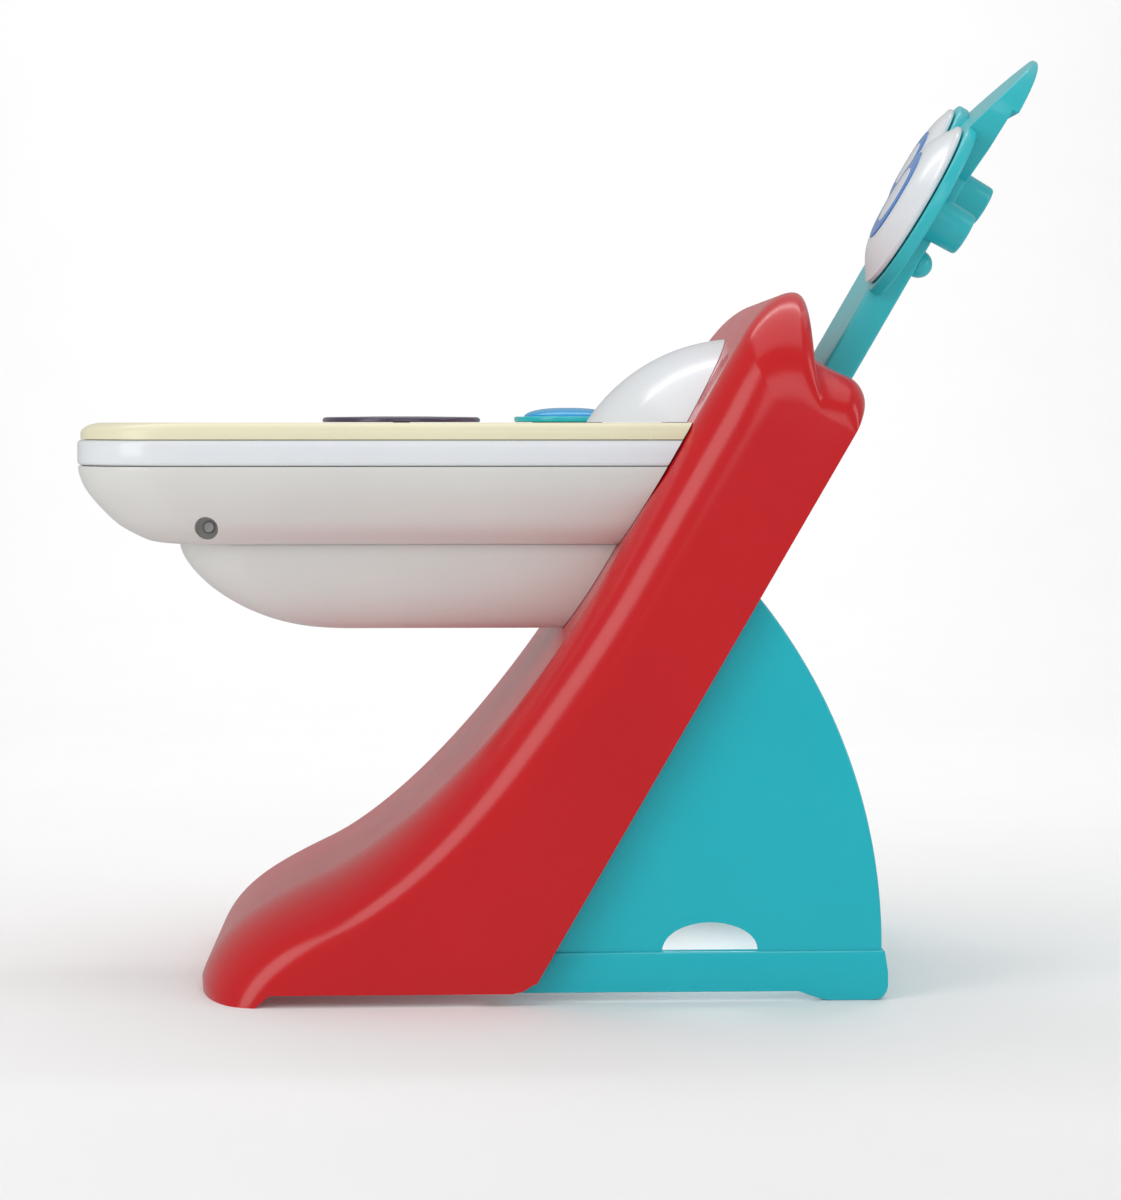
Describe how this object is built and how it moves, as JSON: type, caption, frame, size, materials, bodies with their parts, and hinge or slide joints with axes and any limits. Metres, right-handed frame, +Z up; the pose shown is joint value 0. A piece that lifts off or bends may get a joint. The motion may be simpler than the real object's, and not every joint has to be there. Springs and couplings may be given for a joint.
{
  "type": "toddler activity stand",
  "caption": "Sit-up play stand: leaning glossy pedestal with a toe, level play tray with drum pad and turning disc, sign plank with spinners, sliding quarter-round rear leg.",
  "frame": {"origin": "middle of the footprint's bounding box, on the floor", "axes": "+X from the tray's front towards the rear leg, +Y across to the far side, +Z up"},
  "size_m": [0.6389, 0.35, 0.6136],
  "materials": {
    "red_plastic": "glossy, polished mould",
    "teal_plastic": "glossy",
    "cream_plastic": "satin gloss",
    "white_plastic": "glossy",
    "grey_white_plastic": "satin",
    "purple_plastic": "satin gloss",
    "blue_plastic": "glossy",
    "steel": "plain zinc-plated steel",
    "cell_wrap": "printed sleeve left plain",
    "black_plastic": "fine texture",
    "green_board": "solder mask"
  },
  "bodies": {
    "stand": {"pedestal_shell": "red_plastic", "back_cover": "red_plastic", "sign_plank": "teal_plastic", "plank_cap": "teal_plastic", "drum_ring": "teal_plastic", "tray_deck": "cream_plastic", "tray_rim": "white_plastic", "light_dome": "white_plastic", "tray_bowl": "grey_white_plastic", "tray_belly": "grey_white_plastic", "drum_spring_seat": "grey_white_plastic", "guide_channel_near": "grey_white_plastic", "guide_channel_far": "grey_white_plastic", "speaker_retainer": "grey_white_plastic", "cover_screw_1": "steel", "cover_screw_2": "steel", "cover_screw_3": "steel", "cover_screw_4": "steel", "tray_screw_1": "steel", "tray_screw_2": "steel", "tray_screw_3": "steel", "tray_screw_4": "steel", "bowl_screw_near": "steel", "bowl_screw_far": "steel", "battery_contact_near": "steel", "battery_contact_far": "steel", "plank_screw_near": "steel", "plank_screw_far": "steel", "drum_spring": "steel", "battery_cell_1": "cell_wrap", "battery_cell_2": "cell_wrap", "battery_cell_3": "cell_wrap", "tray_bracket": "black_plastic", "battery_tray": "black_plastic", "speaker": "black_plastic", "plank_clamp": "black_plastic", "circuit_board": "green_board", "lamp_board": "green_board"},
    "leg": {"rear_leg": "teal_plastic"},
    "lock": {"lock_knob": "teal_plastic"},
    "disc": {"record_disc": "purple_plastic", "disc_clip": "grey_white_plastic"},
    "drum": {"drum_pad": "blue_plastic"},
    "lower_wheel": {"lower_spinner": "white_plastic", "lower_spinner_face": "blue_plastic", "lower_spinner_axle": "steel"},
    "upper_wheel": {"upper_spinner": "white_plastic", "upper_spinner_face": "blue_plastic", "upper_spinner_axle": "steel"},
    "switch": {"power_switch": "blue_plastic"},
    "hatch": {"battery_door": "grey_white_plastic", "battery_door_screw": "steel"}
  },
  "joints": [
    {"name": "leg_slide", "type": "slide", "parent": "stand", "child": "leg", "axis": [-0.3, 0, -0.9539], "range_m": [0, 0.075]},
    {"name": "lock_push", "type": "slide", "parent": "stand", "child": "lock", "axis": [-0.866, 0, 0.5], "range_m": [0, 0.0045]},
    {"name": "disc_spin", "type": "hinge", "parent": "stand", "child": "disc", "pos_m": [-0.112, 0, 0.3683], "axis": [0, 0, 1], "continuous": true},
    {"name": "drum_press", "type": "slide", "parent": "stand", "child": "drum", "axis": [0, 0, -1], "range_m": [0, 0.003], "stiffness_N_per_m": 900, "deforming": ["drum_spring"]},
    {"name": "lower_spin", "type": "hinge", "parent": "stand", "child": "lower_wheel", "pos_m": [0.22914, -0.06, 0.51088], "axis": [-0.866, 0, 0.5], "continuous": true},
    {"name": "upper_spin", "type": "hinge", "parent": "stand", "child": "upper_wheel", "pos_m": [0.24814, 0.047, 0.54378], "axis": [-0.866, 0, 0.5], "continuous": true},
    {"name": "switch_slide", "type": "slide", "parent": "stand", "child": "switch", "axis": [0.5, 0, 0.866], "range_m": [0, 0.012]},
    {"name": "hatch_lift_off", "type": "slide", "parent": "stand", "child": "hatch", "axis": [0, 0, -1], "range_m": [0, 0.06]}
  ]
}
